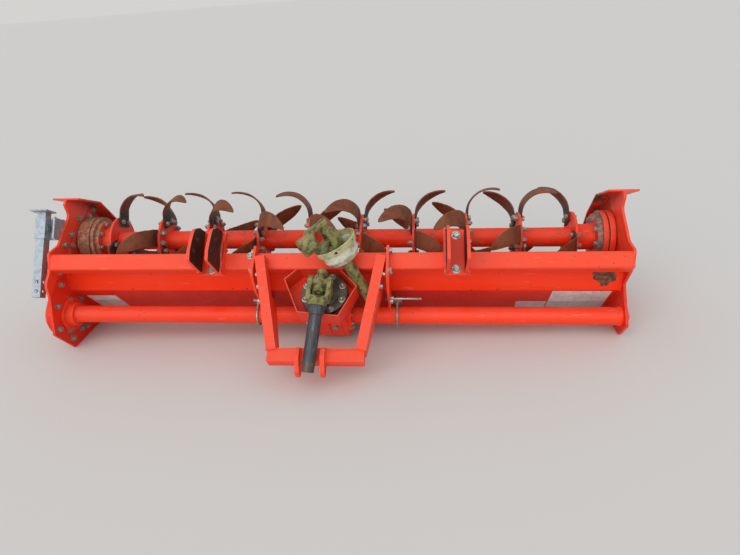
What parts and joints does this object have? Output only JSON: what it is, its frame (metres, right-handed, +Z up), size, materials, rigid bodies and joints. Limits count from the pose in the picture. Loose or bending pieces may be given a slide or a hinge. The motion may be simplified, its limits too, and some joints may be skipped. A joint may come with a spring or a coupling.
{
  "type": "rotary tiller",
  "caption": "Rotary tiller for a tractor's three-point hitch: a hooded rotor of curved blades between side plates, with mast, gearbox and folded driveline, lying on its back.",
  "frame": {"origin": "middle of the footprint on the ground, with the machine tipped on its back on the rear edges of its side plates", "axes": "+X along the rotor, away from the gear case; +Y to the side where the blades show, away from the mast; +Z up"},
  "size_m": [2.5546, 0.9834, 0.6237],
  "materials": {
    "red_paint": "sprayed enamel, scuffed and dusty",
    "rotor_paint": "enamel worn by soil, rusty hubs",
    "blade_steel": "forged steel with brown rust",
    "galvanised_steel": "dull zinc coating",
    "olive_paint": "greasy olive paint over castings",
    "black_tube": "dark drawn tube, rusty at the end",
    "cast_clutch": "oily cast iron",
    "cream_plastic": "dusty moulded plastic",
    "zinc_steel": "zinc-plated steel"
  },
  "bodies": {
    "machine": {"front_beam": "red_paint", "hood_shell": "red_paint", "side_plate_left": "red_paint", "side_plate_right": "red_paint", "gear_case": "red_paint", "skid_left": "red_paint", "skid_right": "red_paint", "drive_tube": "red_paint", "cross_tube": "red_paint", "gearbox": "red_paint", "input_guard": "red_paint", "friction_clutch": "cast_clutch", "inner_yoke": "olive_paint", "joint_cross": "olive_paint", "mast_crossbar": "red_paint", "hitch_bracket_left": "red_paint", "hitch_bracket_right": "red_paint", "stand_sleeve": "galvanised_steel", "hinge_rod": "zinc_steel", "loose_tube": "olive_paint", "loose_fork": "olive_paint", "loose_cross": "olive_paint", "loose_end_fork": "olive_paint", "guard_bell": "cream_plastic", "mast_leg_left": "red_paint", "mast_plate_left": "red_paint", "mast_gusset_left": "red_paint", "top_link_lug_left": "red_paint", "tube_clamp_left": "zinc_steel", "mast_leg_right": "red_paint", "mast_plate_right": "red_paint", "mast_gusset_right": "red_paint", "top_link_lug_right": "red_paint", "tube_clamp_right": "zinc_steel"},
    "rotor": {"rotor_tube": "rotor_paint", "blades_left_hand": "blade_steel", "blades_right_hand": "blade_steel"},
    "tailgate": {"tailgate": "red_paint"},
    "stand_leg": {"stand_leg": "galvanised_steel"},
    "half_shaft": {"swing_yoke": "olive_paint", "half_shaft": "black_tube"}
  },
  "joints": [
    {"name": "rotor_spin", "type": "hinge", "parent": "machine", "child": "rotor", "pos_m": [0.02018, 0.19577, 0.35075], "axis": [0.9996, 0, -0.0275], "continuous": true},
    {"name": "tailgate_hinge", "type": "hinge", "parent": "machine", "child": "tailgate", "pos_m": [0.01193, 0.11071, 0.05063], "axis": [-0.9996, 0, 0.0275], "range_deg": [0, 60]},
    {"name": "stand_slide", "type": "slide", "parent": "machine", "child": "stand_leg", "axis": [0.0229, 0.5505, 0.8345], "range_m": [0, 0.22]},
    {"name": "half_shaft_fold", "type": "hinge", "parent": "machine", "child": "half_shaft", "pos_m": [0.01266, -0.25156, 0.36831], "axis": [-0.992, 0.0907, 0.0875], "range_deg": [0, 100]}
  ]
}
